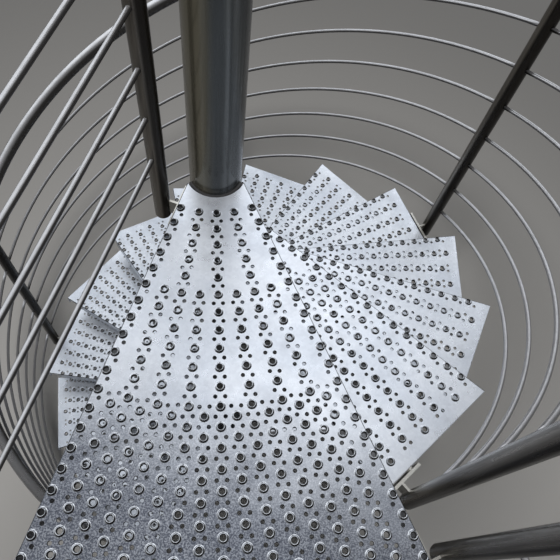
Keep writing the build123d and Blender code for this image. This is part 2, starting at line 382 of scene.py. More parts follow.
@dataclass(frozen=True)
class PaleGround:
    """Plain pale floor of the studio, which throws little light back up."""

    name: str
    tone: Colour = (0.46, 0.452, 0.44)
    bounce: Colour = (0.06, 0.056, 0.052)
    far_glow: float = 0.40                  # the floor fades into the backdrop far from the stair
    glow_over: Range = (3.6, 13.0)          # distances between which it does

    def build(self) -> Material:
        """The finished material."""
        tree = ShaderTree.material(self.name)
        rays = tree.node("ShaderNodeLightPath").outputs
        seen = tree.maths("MAXIMUM", rays["Is Camera Ray"], rays["Is Glossy Ray"])
        seen = tree.maths("MAXIMUM", seen, rays["Is Transmission Ray"])
        away = tree.node("ShaderNodeVectorMath", {0: tree.place}, operation="LENGTH").outputs["Value"]
        haze = tree.maths("MULTIPLY", rays["Is Camera Ray"], tree.fade(away, *self.glow_over, self.far_glow))
        return tree.surface(tree.mix(seen, self.bounce, self.tone), 0.9, 0.0, Specular_IOR_Level=0.0,
                            Emission_Color=(1.0, 1.0, 1.0, 1.0), Emission_Strength=haze)


# ---------------------------------------------------------------------------------------------
# Mesh helpers


def to_mesh(bm: BMesh, name: str) -> bpy.types.Mesh:
    """Turn a bmesh into a mesh and free it."""
    mesh = bpy.data.meshes.new(name)
    bm.to_mesh(mesh)
    bm.free()
    return mesh


def add_object(name: str, data: bpy.types.ID) -> bpy.types.Object:
    """Put a new object into the scene."""
    made = bpy.data.objects.new(name, data)
    bpy.context.scene.collection.objects.link(made)
    return made


def place_mesh(mesh: bpy.types.Mesh, name: str, placing: Matrix, finishes: Sequence[Material],
               slot: Slot, replaced: Sequence[str] = ()) -> None:
    """Make a mesh in millimetres a piece of the stair.

    Args:
        mesh: The shape.
        name: The piece's name.
        placing: Its place in the frame, in millimetres.
        finishes: Materials by index.
        slot: Not used.
        replaced: CAD nodes that it stands for.
    """
    mesh.transform(METRE @ placing)
    for finish in finishes:
        mesh.materials.append(finish)
    piece = add_object(name, mesh)
    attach(piece, "root")
    if replaced:
        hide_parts(*replaced)
    log.info("%s: %d faces", name, len(mesh.polygons))


def place_shape(bm: BMesh, name: str, placing: Matrix, finish: Material, slot: Slot,
                replaced: Sequence[str] = ()) -> None:
    """Make a bmesh with one finish a piece; see place_mesh for the arguments."""
    place_mesh(to_mesh(bm, name), name, placing, [finish], slot, replaced)


def upright(level: float, azimuth: float) -> Matrix:
    """Place on the column's axis at a level, turned to an azimuth in degrees."""
    return Matrix.Translation((0, 0, level)) @ Matrix.Rotation(math.radians(azimuth), 4, "Z")


def open_edges(verts: Iterable[BMVert]) -> list[BMEdge]:
    """Edges at some vertices that have a face on one side only."""
    return list({e for v in verts for e in v.link_edges if e.is_boundary})


def faces_at(verts: Iterable[BMVert]) -> list[BMFace]:
    """Faces that use any of some vertices."""
    return list({f for v in verts for f in v.link_faces})


def smooth(faces: Iterable[BMFace]) -> None:
    """Shade faces smoothly."""
    for face in faces:
        face.smooth = True


def broad_faces(bm: BMesh, axis: int) -> list[BMFace]:
    """Broad sides of the sheet that face along an axis, in their order on it."""
    faces = [f for f in bm.faces if abs(f.normal[axis]) > 0.99 and f.calc_area() > BROAD]
    return sorted(faces, key=lambda f: f.calc_center_median()[axis])


def turned_ring(bm: BMesh, profile: Profile, steps: int, closed: bool = False,
                start: float = 0.0, angle: float = math.tau) -> list[BMVert]:
    """Spin a profile of (radius, height) about the Z axis.

    Args:
        bm: The bmesh that takes the shape.
        profile: Points from the first edge of the surface to its last.
        steps: Faces round the axis.
        closed: Whether the profile closes on itself.
        start: Angle at which a part turn starts.
        angle: The turn; a full one is merged.

    Returns:
        The new vertices.
    """
    before = set(bm.verts)
    points = [bm.verts.new((r * math.cos(start), r * math.sin(start), z)) for r, z in profile]
    edges = [bm.edges.new(pair) for pair in zip(points, points[1:])]
    if closed:
        edges.append(bm.edges.new((points[-1], points[0])))
    bmesh.ops.spin(bm, geom=points + edges, cent=(0, 0, 0), axis=(0, 0, 1), dvec=(0, 0, 0), angle=angle,
                   steps=steps, use_merge=math.isclose(abs(angle), math.tau), use_duplicate=False)
    return [v for v in bm.verts if v not in before]


def rim_numbers(edges: Sequence[BMEdge]) -> dict[BMVert, int]:
    """Number every vertex by the closed rim that it belongs to; 0 is the longest one, the outline.

    Args:
        edges: The edges of all rims.

    Returns:
        The rim's number for each vertex.
    """
    at: dict[BMVert, list[BMEdge]] = {}
    for edge in edges:
        for vert in edge.verts:
            at.setdefault(vert, []).append(edge)
    rims, seen = [], set()
    for vert in at:
        if vert in seen:
            continue
        rim, ahead = {vert}, [vert]
        while ahead:
            for edge in at[ahead.pop()]:
                ahead.extend(v for v in edge.verts if v not in rim)
                rim.update(edge.verts)
        seen |= rim
        rims.append(rim)
    rims.sort(key=lambda rim: -sum(e.calc_length() for v in rim for e in at[v]))
    return {vert: index for index, rim in enumerate(rims) for vert in rim}


def refill(bm: BMesh, axis: int, level: float, facing: int) -> None:
    """Fill a flat sheet round its holes, between all open edges of one plane.

    The scan fill leaves gaps between hundreds of holes, so the sheet is triangulated within its rims.

    Args:
        bm: The bmesh with the open rims.
        axis: The plane's axis, 0 to 2.
        level: The plane's place on the axis.
        facing: Sign of the side that the sheet faces.
    """
    rims = [e for e in bm.edges
            if e.is_boundary and all(abs(v.co[axis] - level) < IN_PLANE for v in e.verts)]
    rim_of = rim_numbers(rims)
    verts = list(rim_of)
    number = {vert: index for index, vert in enumerate(verts)}
    first, second = (index for index in range(3) if index != axis)
    flat = [Vector((v.co[first], v.co[second])) for v in verts]
    pairs = [(number[e.verts[0]], number[e.verts[1]]) for e in rims]
    filled, origins = itemgetter(2, 3)(delaunay_2d_cdt(flat, pairs, [], INSIDE_THE_OUTLINE, SAME_CORNER))
    for indices in filled:
        corners = [verts[origins[index][0]] for index in indices]
        numbers = {rim_of[corner] for corner in corners}
        if len(numbers) > 1 or 0 in numbers:
            face = bm.faces.new(corners)
            face.normal_update()
            if face.normal[axis] * facing < 0:
                face.normal_flip()


# ---------------------------------------------------------------------------------------------
# Pans: treads and landing


@dataclass(frozen=True)
class HoleRow:
    """A straight row of raised holes with pairs of small holes midway between them."""

    offset: float               # cross place where the row would pass the column's axis
    slope: float                # cross travel for each unit along the pan
    first: float                # along the pan to the first raised hole
    spacing: float              # from one raised hole to the next, along the row
    lead: bool = False          # a pair of small holes comes before the first raised one
    edge: Optional[Side] = None  # the edge that the row runs along

    def across(self, along: float) -> float:
        """Cross place of the row."""
        return self.offset + self.slope * along

    @property
    def step(self) -> float:
        """Spacing measured along the pan."""
        return self.spacing / math.hypot(1.0, self.slope)

    def raised(self, end: float) -> Iterator[Vector]:
        """Centres of the raised holes."""
        along = self.first
        while along <= end:
            yield Vector((along, self.across(along), 0.0))
            along += self.step

    def small(self, end: float, apart: float) -> Iterator[Vector]:
        """Centres of the small holes; an edge row has only the inner one of each pair."""
        along = self.first + (-0.5 if self.lead else 0.5) * self.step
        while along <= end:
            for sign in (-1, 1):
                if self.edge is None or sign != self.edge.value:
                    yield Vector((along, self.across(along) + sign * apart, 0.0))
            along += self.step


@dataclass
class Pan:
    """Folded sheet-metal pan with its centre line along +X and its walking surface at z = 0."""

    axis_half: float                # half width where the edges would pass the column's axis
    outer_half: float
    reach: float
    sheet: float
    depth: float
    short: float                    # the side flanges stop this far from the outer edge
    rows: list[HoleRow]
    lip: float = 12.0               # what stays of a side flange there
    column_radius: float = COLUMN_RADIUS
    clearance: float = 8.0
    toe_clearance: float = 6.0      # at the lower corners of the flanges
    cut_steps: int = 22
    fold: float = 2.2
    end_margin: float = 35.0
    edge_inset: float = 9.0         # from an edge row's centres to the edge
    fold_gap: float = 0.35          # between the fold and the squeezed collars of an edge row
    squeezed: float = 0.94          # share that such a collar loses of what stands over
    pair_half: float = 10.7
    collar_steps: int = 14
    hole_steps: int = 10
    small_hole: Profile = ((4.9, 0.0), (4.6, -0.7))
    small_bore: float = 4.0
    raised_hole: Profile = (        # from the sheet over the lip of the collar
        (11.9, 0.0), (10.7, 0.7), (9.5, 2.0), (8.7, 3.9), (8.1, 4.6), (7.4, 4.3), (6.2, 2.6), (5.8, 0.8))
    raised_bore: float = 5.5
    raised_bands: Sequence[Skin] = (Skin.COLLAR,) * 6 + (Skin.BORE,) * 2
    saddle_wall: float = 6.0
    saddle_drop: float = 8.0
    saddle_gap: float = 0.2
    saddle_chamfer: float = 1.2
    saddle_short: float = 0.03      # radians by which the saddle stops short of the flanges
    saddle_steps: int = 24
    bead: Profile = ((-0.1, 0.2), (4.6, 0.2), (2.6, -2.1), (-0.1, -4.2))    # from its lower inner edge
    bead_short: float = 0.02

    @property
    def slope(self) -> float:
        """Cross travel of an edge for each unit along."""
        return (self.outer_half - self.axis_half) / self.reach

    def edge_across(self, along: float) -> float:
        """Half width of the pan."""
        return self.axis_half + self.slope * along

    def meets(self, radius: float) -> float:
        """Along the pan to where an edge crosses a circle about the column's axis."""
        a, b = 1.0 + self.slope ** 2, self.axis_half * self.slope
        c = self.axis_half ** 2 - radius ** 2
        return (-b + math.sqrt(b * b - a * c)) / a

    def plate(self, bm: BMesh) -> None:
        """The flat outline with its round cut-out at the column."""
        near = self.meets(self.column_radius + self.clearance)
        turn = math.atan2(self.edge_across(near), near)
        start = bm.verts.new((near, -self.edge_across(near), 0.0))
        bmesh.ops.spin(bm, geom=[start], cent=(0, 0, 0), axis=(0, 0, 1), dvec=(0, 0, 0),
                       angle=2 * turn, steps=self.cut_steps, use_duplicate=False)
        finish = max(bm.verts, key=lambda v: v.co.y)
        corners = [bm.verts.new((self.reach, sign * self.outer_half, 0.0)) for sign in (-1, 1)]
        for pair in ((start, corners[0]), (corners[0], corners[1]), (corners[1], finish)):
            bm.edges.new(pair)
        bmesh.ops.holes_fill(bm, edges=bm.edges[:], sides=0)

    def shell(self) -> BMesh:
        """The folded pan without holes, open below and towards the column."""
        bm = bmesh.new()
        self.plate(bm)
        made = bmesh.ops.extrude_face_region(bm, geom=bm.faces[:])["geom"]
        bmesh.ops.translate(bm, verts=[g for g in made if isinstance(g, BMVert)], vec=(0, 0, -self.depth))
        cut, floor = self.column_radius + self.clearance, IN_PLANE - self.depth
        bottom = [f for f in bm.faces if f.calc_center_median().z < floor]
        inner = [f for f in bm.faces if f.calc_center_median().xy.length < cut + 2.0]
        bmesh.ops.delete(bm, geom=list({*bottom, *inner}), context="FACES")
        bmesh.ops.recalc_face_normals(bm, faces=bm.faces[:])
        top = max(bm.faces, key=lambda f: f.calc_center_median().z)
        if top.normal.z < 0:
            bmesh.ops.reverse_faces(bm, faces=bm.faces[:])
        if self.short > 0:
            self.trim_flanges(bm)
        toe = self.meets(self.column_radius + self.toe_clearance)
        for vert in bm.verts:
            if vert.co.z < floor and vert.co.x < self.meets(cut) + 1.0:
                vert.co.x, vert.co.y = toe, math.copysign(self.edge_across(toe), vert.co.y)
        bmesh.ops.solidify(bm, geom=bm.faces[:], thickness=self.sheet)
        slack = 0.3 * self.sheet
        for vert in bm.verts:                       # the inner sides end up level and square
            if abs(vert.co.z + self.sheet) < slack:
                vert.co.z = -self.sheet
            if abs(vert.co.x - self.reach + self.sheet) < slack:
                vert.co.x = self.reach - self.sheet
        return bm

    def trim_flanges(self, bm: BMesh) -> None:
        """Cut the side flanges back near the outer corners, down to a short lip."""
        end = self.reach - self.short
        for place, normal in (((end, 0, 0), (1, 0, 0)), ((0, 0, -self.lip), (0, 0, 1))):
            sides = [f for f in bm.faces if abs(f.normal.y) > 0.9]
            geom = {*sides, *(e for f in sides for e in f.edges), *(v for f in sides for v in f.verts)}
            bmesh.ops.bisect_plane(bm, geom=list(geom), plane_co=place, plane_no=normal, dist=SAME_VERTEX)
        gone = [f for f in bm.faces if abs(f.normal.y) > 0.9
                and f.calc_center_median().x > end and f.calc_center_median().z < -self.lip]
        bmesh.ops.delete(bm, geom=gone, context="FACES")

    def soften_folds(self, bm: BMesh) -> None:
        """Round the three folded edges of the walking surface."""
        cut = self.column_radius + self.clearance + 1.0
        edges = [e for e in bm.edges
                 if all(abs(v.co.z) < IN_PLANE for v in e.verts) and len(e.link_faces) == 2
                 and not all(v.co.xy.length < cut for v in e.verts)
                 and any(abs(f.normal.z) < 0.5 for f in e.link_faces)
                 and any(f.normal.z > 0.9 for f in e.link_faces)]
        made = bmesh.ops.bevel(bm, geom=edges, offset=self.fold, offset_type="OFFSET", segments=3,
                               profile=0.5, affect="EDGES", material=-1)["faces"]
        smooth(made)
        for face in made:
            face.normal_update()
            # Painted shade: the long folds take a near-black finish.
            if abs(face.normal.y) > 2 * abs(face.normal.x):
                face.material_index = Skin.FOLD

    def template(self, profile: Profile, steps: int, bands: Sequence[Skin]) -> bpy.types.Mesh:
        """One spun hole as a mesh that is copied to every place.

        Args:
            profile: Points of (radius, height) from the upper side of the sheet to the lower one.
            steps: Faces round the hole.
            bands: Finish of each band of faces.

        Returns:
            The mesh.
        """
        bm = bmesh.new()
        turned_ring(bm, profile, steps)
        bmesh.ops.recalc_face_normals(bm, faces=bm.faces[:])
        smooth(bm.faces)
        middles = [((r0 + r1) / 2, (z0 + z1) / 2) for (r0, z0), (r1, z1) in zip(profile, profile[1:])]
        for face in bm.faces:
            centre = face.calc_center_median()
            gaps = [math.hypot(centre.xy.length - r, centre.z - z) for r, z in middles]
            face.material_index = bands[gaps.index(min(gaps))]
        return to_mesh(bm, "hole_template")

    def squeeze(self, verts: Iterable[BMVert], row: HoleRow, centre: Vector) -> None:
        """Flatten the collars of an edge row where they meet the fold."""
        normal = Vector((-self.slope, row.edge.value, 0.0)).normalized()
        for vert in verts:
            limit = self.edge_inset - (self.fold if vert.co.z > -0.5 else self.sheet) - self.fold_gap
            over = (vert.co - centre).dot(normal) - limit
            if over > 0:
                vert.co -= normal * over * self.squeezed

    def holes(self) -> bpy.types.Mesh:
        """All raised and small holes, without the sheet between them."""
        end = self.reach - self.end_margin
        raised = self.template((*self.raised_hole, (self.raised_bore, -self.sheet)), self.collar_steps,
                               self.raised_bands)
        small = self.template((*self.small_hole, (self.small_bore, -self.sheet)), self.hole_steps,
                              (Skin.BORE,) * len(self.small_hole))
        bm = bmesh.new()
        for row in self.rows:
            for mesh, centres in ((raised, row.raised(end)), (small, row.small(end, self.pair_half))):
                for centre in centres:
                    count = len(bm.verts)
                    bm.from_mesh(mesh)
                    bm.verts.ensure_lookup_table()
                    new = bm.verts[count:]
                    bmesh.ops.translate(bm, verts=new, vec=centre)
                    if row.edge is not None and mesh is raised:
                        self.squeeze(new, row, centre)
        for mesh in (raised, small):
            bpy.data.meshes.remove(mesh)
        return to_mesh(bm, "holes")

    def punch(self, bm: BMesh) -> None:
        """Cut every hole through the walking surface, with its collar."""
        bmesh.ops.delete(bm, geom=broad_faces(bm, 2), context="FACES_ONLY")
        holes = self.holes()
        bm.from_mesh(holes)
        bpy.data.meshes.remove(holes)
        refill(bm, 2, 0.0, 1)
        refill(bm, 2, -self.sheet, -1)

    def saddle(self, bm: BMesh) -> None:
        """Part ring that carries the pan on the column, in the bores' near-black painted shade, with a weld
        bead below.
        """
        inner = self.column_radius + self.saddle_gap
        outer = inner + self.saddle_wall
        near = self.meets(outer)
        turn = math.atan2(self.edge_across(near), near) - self.saddle_short
        top, low, chamfer = -self.saddle_drop, -self.depth, self.saddle_chamfer
        bar = ((inner, top), (outer - chamfer, top), (outer, top - chamfer), (outer, low), (inner, low))
        # The saddle takes the bores' near-black painted shade, for the shade of the gap.
        self.part_ring(bm, bar, turn, Skin.BORE)
        bead = [(inner + out, low + up) for out, up in self.bead]
        self.part_ring(bm, bead, turn - self.bead_short, Skin.WELD)

    def part_ring(self, bm: BMesh, profile: Profile, turn: float, skin: Skin) -> None:
        """Closed bar bent round the column over twice an angle, with its ends closed."""
        verts = turned_ring(bm, profile, self.saddle_steps, True, -turn, 2 * turn)
        bmesh.ops.holes_fill(bm, edges=open_edges(verts), sides=0)
        faces = faces_at(verts)
        bmesh.ops.recalc_face_normals(bm, faces=faces)
        for face in faces:
            face.material_index = skin
            face.smooth = len(face.verts) == 4 and skin is Skin.WELD

    def mesh(self, name: str) -> bpy.types.Mesh:
        """The whole pan.

        Args:
            name: The mesh's name.

        Returns:
            The mesh, in millimetres.
        """
        bm = self.shell()
        self.soften_folds(bm)
        self.punch(bm)
        bmesh.ops.recalc_face_normals(bm, faces=bm.faces[:])
        self.saddle(bm)
        self.extras(bm)
        return to_mesh(bm, name)

    def extras(self, bm: BMesh) -> None:
        """Further parts of a pan; a plain tread has none."""


@dataclass
class LandingPan(Pan):
    """The landing: a wider pan with cross ribs and bolt holes in its outer flange."""

    clearance: float = 12.5
    edge_inset: float = 9.85
    rib_spacing: float = 330.0
    rib_depth: float = 70.0
    rib_wall: float = 5.0
    rib_gap: float = 0.05                       # under the sheet, so that no two faces lie in one plane
    bolt_spacing: tuple[float, float] = (800.0, 50.0)
    bolt_level: float = -55.0
    bolt_radius: float = 7.0

    def extras(self, bm: BMesh) -> None:
        """Cross ribs under the sheet."""
        for index in range(1, int((self.reach - self.rib_spacing / 2) // self.rib_spacing) + 1):
            along = index * self.rib_spacing
            half = self.edge_across(along) - self.sheet * 0.6
            made = bmesh.ops.create_cube(bm, size=1.0)["verts"]
            height = self.rib_depth - self.sheet
            bmesh.ops.scale(bm, verts=made, vec=(self.rib_wall, 2 * half, height))
            bmesh.ops.translate(bm, verts=made, vec=(along, 0, -self.sheet - height / 2 - self.rib_gap))

    def punch(self, bm: BMesh) -> None:
        """Cut the walking surface's holes and the four bolt holes of the outer flange."""
        super().punch(bm)
        across, down = self.bolt_spacing
        faces = itemgetter(0, -1)(broad_faces(bm, 0))
        places = [face.calc_center_median().x for face in faces]
        bmesh.ops.delete(bm, geom=list(faces), context="FACES_ONLY")
        for cross in (-across / 2, across / 2):
            for fall in (-down / 2, down / 2):
                verts = turned_ring(bm, ((self.bolt_radius, 0.0), (self.bolt_radius, self.sheet)), 24)
                smooth(faces_at(verts))
                bmesh.ops.rotate(bm, verts=verts, matrix=Matrix.Rotation(-math.pi / 2, 3, "Y"))
                bmesh.ops.translate(bm, verts=verts, vec=(self.reach, cross, self.bolt_level + fall))
        for place, facing in zip(places, (-1, 1)):
            refill(bm, 0, place, facing)


@dataclass
class Flight:
    """The thirteen equal treads."""

    rise: float = 196.0
    turn: float = 23.6
    count: int = 13
    top_azimuth: float = -51.35
    axis_half: float = 62.0
    outer_half: float = 195.0
    reach: float = 850.0
    sheet: float = 3.0
    depth: float = 50.0
    flange_short: float = 47.0

    @property
    def posts(self) -> range:
        """Numbers of the treads that carry a post."""
        return range(1, self.count + 1, 3)

    def azimuth(self, number: int) -> float:
        """Centre line of a tread, counted from the lowest."""
        return self.top_azimuth + (self.count - number) * self.turn

    def placing(self, number: int) -> Matrix:
        """Place of a tread in the frame."""
        return upright(number * self.rise, self.azimuth(number))

    def rows(self) -> list[HoleRow]:
        """Two rows along the edges and five between them, of which two start by the column."""
        rows = [HoleRow(sign * 52.8, sign * 0.1565, 95.6, 43.4, edge=Side(sign)) for sign in (-1, 1)]
        starts = ((333.0, 43.5), (136.8, 43.5), (328.0, 43.9))      # first hole, spacing; from the middle out
        for index in range(-2, 3):
            rows.append(HoleRow(index * 17.2, index * 0.0538, *starts[abs(index)], lead=abs(index) == 2))
        return rows

    def build(self, finishes: Sequence[Material]) -> None:
        """Make the treads."""
        pan = Pan(self.axis_half, self.outer_half, self.reach, self.sheet, self.depth, self.flange_short,
                  self.rows())
        mesh = pan.mesh("tread_pan")
        for number in range(1, self.count + 1):
            name = f"tread_{number:02d}"
            place_mesh(mesh.copy(), f"{name}_punched_pan", self.placing(number), finishes, Slot.SHEET, [name])
        bpy.data.meshes.remove(mesh)


@dataclass
class Landing:
    """The wedge-shaped landing at the top."""

    level: float = 2744.0
    azimuth: float = -90.0
    axis_half: float = 57.8
    half_angle: float = 20.84       # between the centre line and an edge
    reach: float = 1400.0
    sheet: float = 4.0
    depth: float = 100.0

    @property
    def slope(self) -> float:
        """Cross travel of an edge for each unit along."""
        return math.tan(math.radians(self.half_angle))

    @property
    def outer_half(self) -> float:
        """Half width at the outer edge."""
        return self.axis_half + self.slope * self.reach

    def rows(self) -> list[HoleRow]:
        """Seventeen rows: five start by the column, four more follow and eight start further out."""
        rows = [HoleRow(sign * 47.2, sign * self.slope, 108.0, 43.7, edge=Side(sign)) for sign in (-1, 1)]
        starts = {0: 125.0, 4: 121.0, 2: 342.0, 6: 327.0, 1: 627.0, 3: 621.0, 5: 608.0, 7: 590.0}
        for eighths, first in starts.items():
            for sign in ((-1, 1) if eighths else (1,)):
                share = sign * eighths / 8
                rows.append(HoleRow(share * 40.5, share * self.slope, first, 43.9 if eighths == 4 else 43.7,
                                    lead=eighths % 2 == 1))
        return rows

    def build(self, finishes: Sequence[Material]) -> None:
        """Make the landing's pan."""
        pan = LandingPan(self.axis_half, self.outer_half, self.reach, self.sheet, self.depth, 0.0,
                         self.rows())
        place_mesh(pan.mesh("landing_pan"), "landing_punched_pan", upright(self.level, self.azimuth),
                   finishes, Slot.SHEET, ["landing"])


# ---------------------------------------------------------------------------------------------
# Fixings


@dataclass(frozen=True)
class BracketSeat:
    """Where one bracket's bar is bolted, in the edge's own frame with X across the edge and Y along it."""

    name: str
    placing: Matrix     # of the edge's frame
    edge: float         # outer side of the flange
    low: float          # ends of the bar
    high: float
    drop: float         # from the walking surface to the bolts
    sheet: float


@dataclass
class BracketSeats:
    """The bolted bars of all brackets, as the CAD places them."""

    flight: Flight
    landing: Landing
    bar_half: float = 66.0
    top_bar: tuple[float, float] = (-188.0, -69.0)      # ends of the uppermost tread's bar
    tread_drop: float = 31.5
    landing_drop: float = 72.5
    first_left: float = 97.0        # along the landing's edges to the inner posts
    first_right: float = 1025.0
    last: float = 70.0              # from the outer corners back to the outer posts
    inner_end: float = 40.0         # no bar starts nearer the column's axis
    outer_end: float = 7.0          # or ends nearer the outer corner

    def on_treads(self) -> Iterator[BracketSeat]:
        """One seat on every tread with a post."""
        for number in self.flight.posts:
            ends = self.top_bar if number == self.flight.count else (-self.bar_half, self.bar_half)
            yield BracketSeat(f"tread_{number:02d}", self.flight.placing(number), self.flight.reach, *ends,
                              self.tread_drop, self.flight.sheet)

    def on_landing(self) -> Iterator[BracketSeat]:
        """Two seats on each edge of the landing."""
        landing = self.landing
        angle = math.radians(landing.half_angle)
        length = landing.reach * math.cos(angle) + landing.outer_half * math.sin(angle)
        edge = landing.axis_half * math.cos(angle)
        for name, side, first in (("left", -1, self.first_left), ("right", 1, self.first_right)):
            placing = upright(landing.level, landing.azimuth + side * (landing.half_angle + 90))
            least, most = sorted((-side * self.inner_end, -side * (length - self.outer_end)))
            for place, along in (("inner", first), ("outer", length - self.last)):
                low, high = -side * along - self.bar_half, -side * along + self.bar_half
                yield BracketSeat(f"landing_{place}_{name}", placing, edge, max(low, least), min(high, most),
                                  self.landing_drop, landing.sheet)


@dataclass
class Fixings:
    """Hexagon bolts that hold the brackets' bars from inside the flanges."""

    across_flats: float = 19.0
    head: float = 7.5
    head_bevel: float = 1.1
    washer_radius: float = 12.0
    washer: float = 2.0
    shank_radius: float = 6.0
    shank_chamfer: float = 0.8
    stands_out: float = 1.5
    bar_outer: float = 14.0
    spacer_inset: float = 20.0

    def hexagon(self, bm: BMesh, placing: Matrix) -> None:
        """Bevelled hexagon on a washer, standing on the place's XY plane along +Z."""
        made = bmesh.ops.create_cone(bm, cap_ends=True, segments=24, radius1=self.washer_radius,
                                     radius2=self.washer_radius, depth=self.washer)["verts"]
        bmesh.ops.translate(bm, verts=made, vec=(0, 0, self.washer / 2))
        radius = self.across_flats / math.sqrt(3)
        body = bmesh.ops.create_cone(bm, cap_ends=True, segments=6, radius1=radius, radius2=radius,
                                     depth=self.head)["verts"]
        bmesh.ops.translate(bm, verts=body, vec=(0, 0, self.washer + self.head / 2))
        crown = self.washer + self.head - 0.1
        top = {e for v in body for e in v.link_edges if all(w.co.z > crown for w in e.verts)}
        rim = bmesh.ops.bevel(bm, geom=list(top), offset=self.head_bevel, offset_type="OFFSET", segments=2,
                              profile=0.5, affect="EDGES", material=-1)["verts"]
        whole = {*made, *(v for v in body if v.is_valid), *rim}
        bmesh.ops.transform(bm, verts=list(whole), matrix=placing)

    def shank_end(self, bm: BMesh, placing: Matrix) -> None:
        """Chamfered end of the shank, just out of the bar that it is screwed into."""
        made = bmesh.ops.create_cone(bm, cap_ends=True, segments=20, radius1=self.shank_radius,
                                     radius2=self.shank_radius - self.shank_chamfer,
                                     depth=self.stands_out)["verts"]
        bmesh.ops.transform(bm, verts=made, matrix=placing @ Matrix.Translation((0, 0, self.stands_out / 2)))

    def build(self, seats: Iterable[BracketSeat], finish: Material) -> None:
        """Make the two bolts of every bracket."""
        for seat in seats:
            bm = bmesh.new()
            for along in (seat.low + self.spacer_inset, seat.high - self.spacer_inset):
                for part, across, quarter in ((self.shank_end, seat.edge + self.bar_outer, math.pi / 2),
                                              (self.hexagon, seat.edge - seat.sheet, -math.pi / 2)):
                    place = Matrix.Translation((across, along, -seat.drop))
                    part(bm, place @ Matrix.Rotation(quarter, 4, "Y"))
            place_shape(bm, f"bolts_{seat.name}", seat.placing, finish, Slot.BRACKET)


@dataclass
class PostFeet:
    """Rounded plugs under the posts."""

    radius: float = TUBE_RADIUS
    dome: float = 5.0
    curve: Profile = ((0.0, 1.0), (0.55, 0.93), (0.86, 0.66))       # shares of the radius and the dome
    shoulder: Profile = ((0.0, -0.2), (0.0, 0.4), (-3.0, 0.4))      # from the tube's outside and lower end

    def build(self, names: Sequence[str], finish: Material) -> None:
        """Make a plug under each post."""
        profile = ([(self.radius * out, -self.dome * down) for out, down in self.curve]
                   + [(self.radius + out, up) for out, up in self.shoulder])
        for name in names:
            low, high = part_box(name)
            centre = (low + high) / 2
            bm = bmesh.new()
            turned_ring(bm, profile, 32)
            bmesh.ops.remove_doubles(bm, verts=bm.verts[:], dist=SAME_VERTEX)
            bmesh.ops.holes_fill(bm, edges=open_edges(bm.verts), sides=0)
            bmesh.ops.recalc_face_normals(bm, faces=bm.faces[:])
            smooth(f for f in bm.faces if len(f.verts) <= 4)
            placing = Matrix.Translation((centre.x * 1000, centre.y * 1000, low.z * 1000))
            place_shape(bm, f"foot_{name}", placing, finish, Slot.POST)


@dataclass
class BaseWeld:
    """Fillet weld between the column and its base plate."""

    column_radius: float = COLUMN_RADIUS
    level: float = 15.0
    sunk: float = 0.2               # into the column and the plate
    leg: float = 6.0
    section: Profile = ((0.0, 0.0), (1.0, 0.0), (0.62, 0.5), (0.4, 0.75), (0.0, 1.1))     # shares of the leg

    def build(self, finish: Material) -> None:
        """Make the bead."""
        bm = bmesh.new()
        inner, base = self.column_radius - self.sunk, self.level - self.sunk
        profile = [(inner + self.leg * out, base + self.leg * up) for out, up in self.section]
        turned_ring(bm, profile, 64, True)
        bmesh.ops.remove_doubles(bm, verts=bm.verts[:], dist=SAME_VERTEX)
        bmesh.ops.recalc_face_normals(bm, faces=bm.faces[:])
        smooth(bm.faces)
        place_shape(bm, "weld_column_base", Matrix.Identity(4), finish, Slot.COLUMN)


